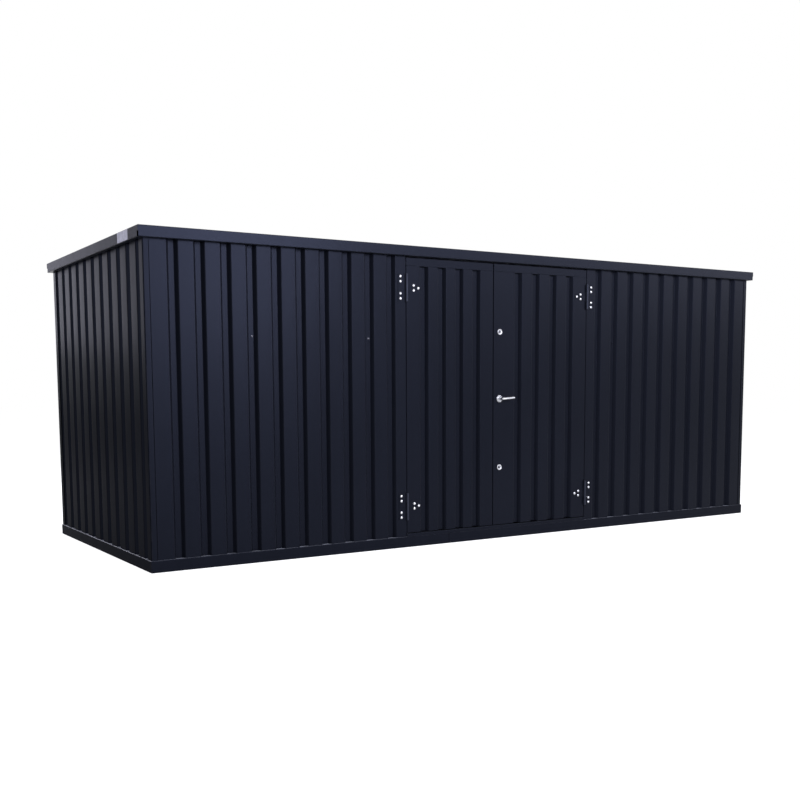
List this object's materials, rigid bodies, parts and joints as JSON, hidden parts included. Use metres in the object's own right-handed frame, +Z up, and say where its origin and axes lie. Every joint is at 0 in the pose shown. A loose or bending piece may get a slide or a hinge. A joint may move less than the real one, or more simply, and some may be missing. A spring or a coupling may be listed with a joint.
{
  "type": "storage container",
  "caption": "Flat-packed steel storage container with ribbed walls, a folded roof edge and a hinged double door with a lever handle in its long side.",
  "frame": {"origin": "on the ground under the middle of the base", "axes": "+X along the long side towards its right end, the doors face -Y, +Z up"},
  "size_m": [5.605, 2.2525, 2.15],
  "materials": {
    "wall_paint": "satin dark blue-black powder coat on ribbed steel sheet",
    "frame_paint": "satin dark blue-black powder coat on folded steel",
    "door_frame_paint": "satin dark blue-black powder coat on steel tube",
    "roof_paint": "satin dark coating on ribbed roof sheet, lightly dusted",
    "hinge_paint": "satin dark coating",
    "galvanised_steel": "galvanised",
    "plywood": "film-faced plywood, matt",
    "plate_metal": "matt silver, blank",
    "bright_metal": "polished"
  },
  "bodies": {
    "container": {"base_rail_front_left": "frame_paint", "base_rail_front_right": "frame_paint", "base_rail_back": "frame_paint", "base_rail_left": "frame_paint", "base_rail_right": "frame_paint", "floor_joists": "galvanised_steel", "floor_boards": "plywood", "door_sill": "frame_paint", "corner_post_front_left": "frame_paint", "corner_post_front_right": "frame_paint", "corner_post_back_left": "frame_paint", "corner_post_back_right": "frame_paint", "front_wall_left": "wall_paint", "front_wall_right": "wall_paint", "back_wall_left": "wall_paint", "back_wall_right": "wall_paint", "left_wall": "wall_paint", "right_wall": "wall_paint", "door_post_left": "frame_paint", "door_post_right": "frame_paint", "door_head": "frame_paint", "top_rails": "galvanised_steel", "roof_beams": "galvanised_steel", "roof_deck": "roof_paint", "fascia_front": "frame_paint", "fascia_back": "frame_paint", "fascia_left": "frame_paint", "fascia_right": "frame_paint", "label_plate": "plate_metal", "hinge_upper_left_post_leaf": "hinge_paint", "hinge_lower_left_post_leaf": "hinge_paint", "hinge_upper_right_post_leaf": "hinge_paint", "hinge_lower_right_post_leaf": "hinge_paint"},
    "left_door": {"left_door_sheet": "wall_paint", "left_door_frame": "door_frame_paint", "hinge_upper_left_door_leaf": "hinge_paint", "hinge_lower_left_door_leaf": "hinge_paint"},
    "right_door": {"right_door_sheet": "wall_paint", "right_door_frame": "door_frame_paint", "hinge_upper_right_door_leaf": "hinge_paint", "hinge_lower_right_door_leaf": "hinge_paint", "handle_rose": "bright_metal", "upper_lock": "bright_metal", "lower_lock": "bright_metal"},
    "lever": {"lever_handle": "bright_metal"}
  },
  "joints": [
    {"name": "left_door_hinge", "type": "hinge", "parent": "container", "child": "left_door", "pos_m": [-0.846, -1.0868, 1], "axis": [0, 0, -1], "range_deg": [0, 165]},
    {"name": "right_door_hinge", "type": "hinge", "parent": "container", "child": "right_door", "pos_m": [0.864, -1.0868, 1], "axis": [0, 0, 1], "range_deg": [0, 165]},
    {"name": "lever_turn", "type": "hinge", "parent": "right_door", "child": "lever", "pos_m": [-0.007, -1.0775, 1.066], "axis": [0, 1, 0], "range_deg": [0, 45], "stiffness_Nm_per_rad": 1.5, "springref_deg": -28.65}
  ]
}
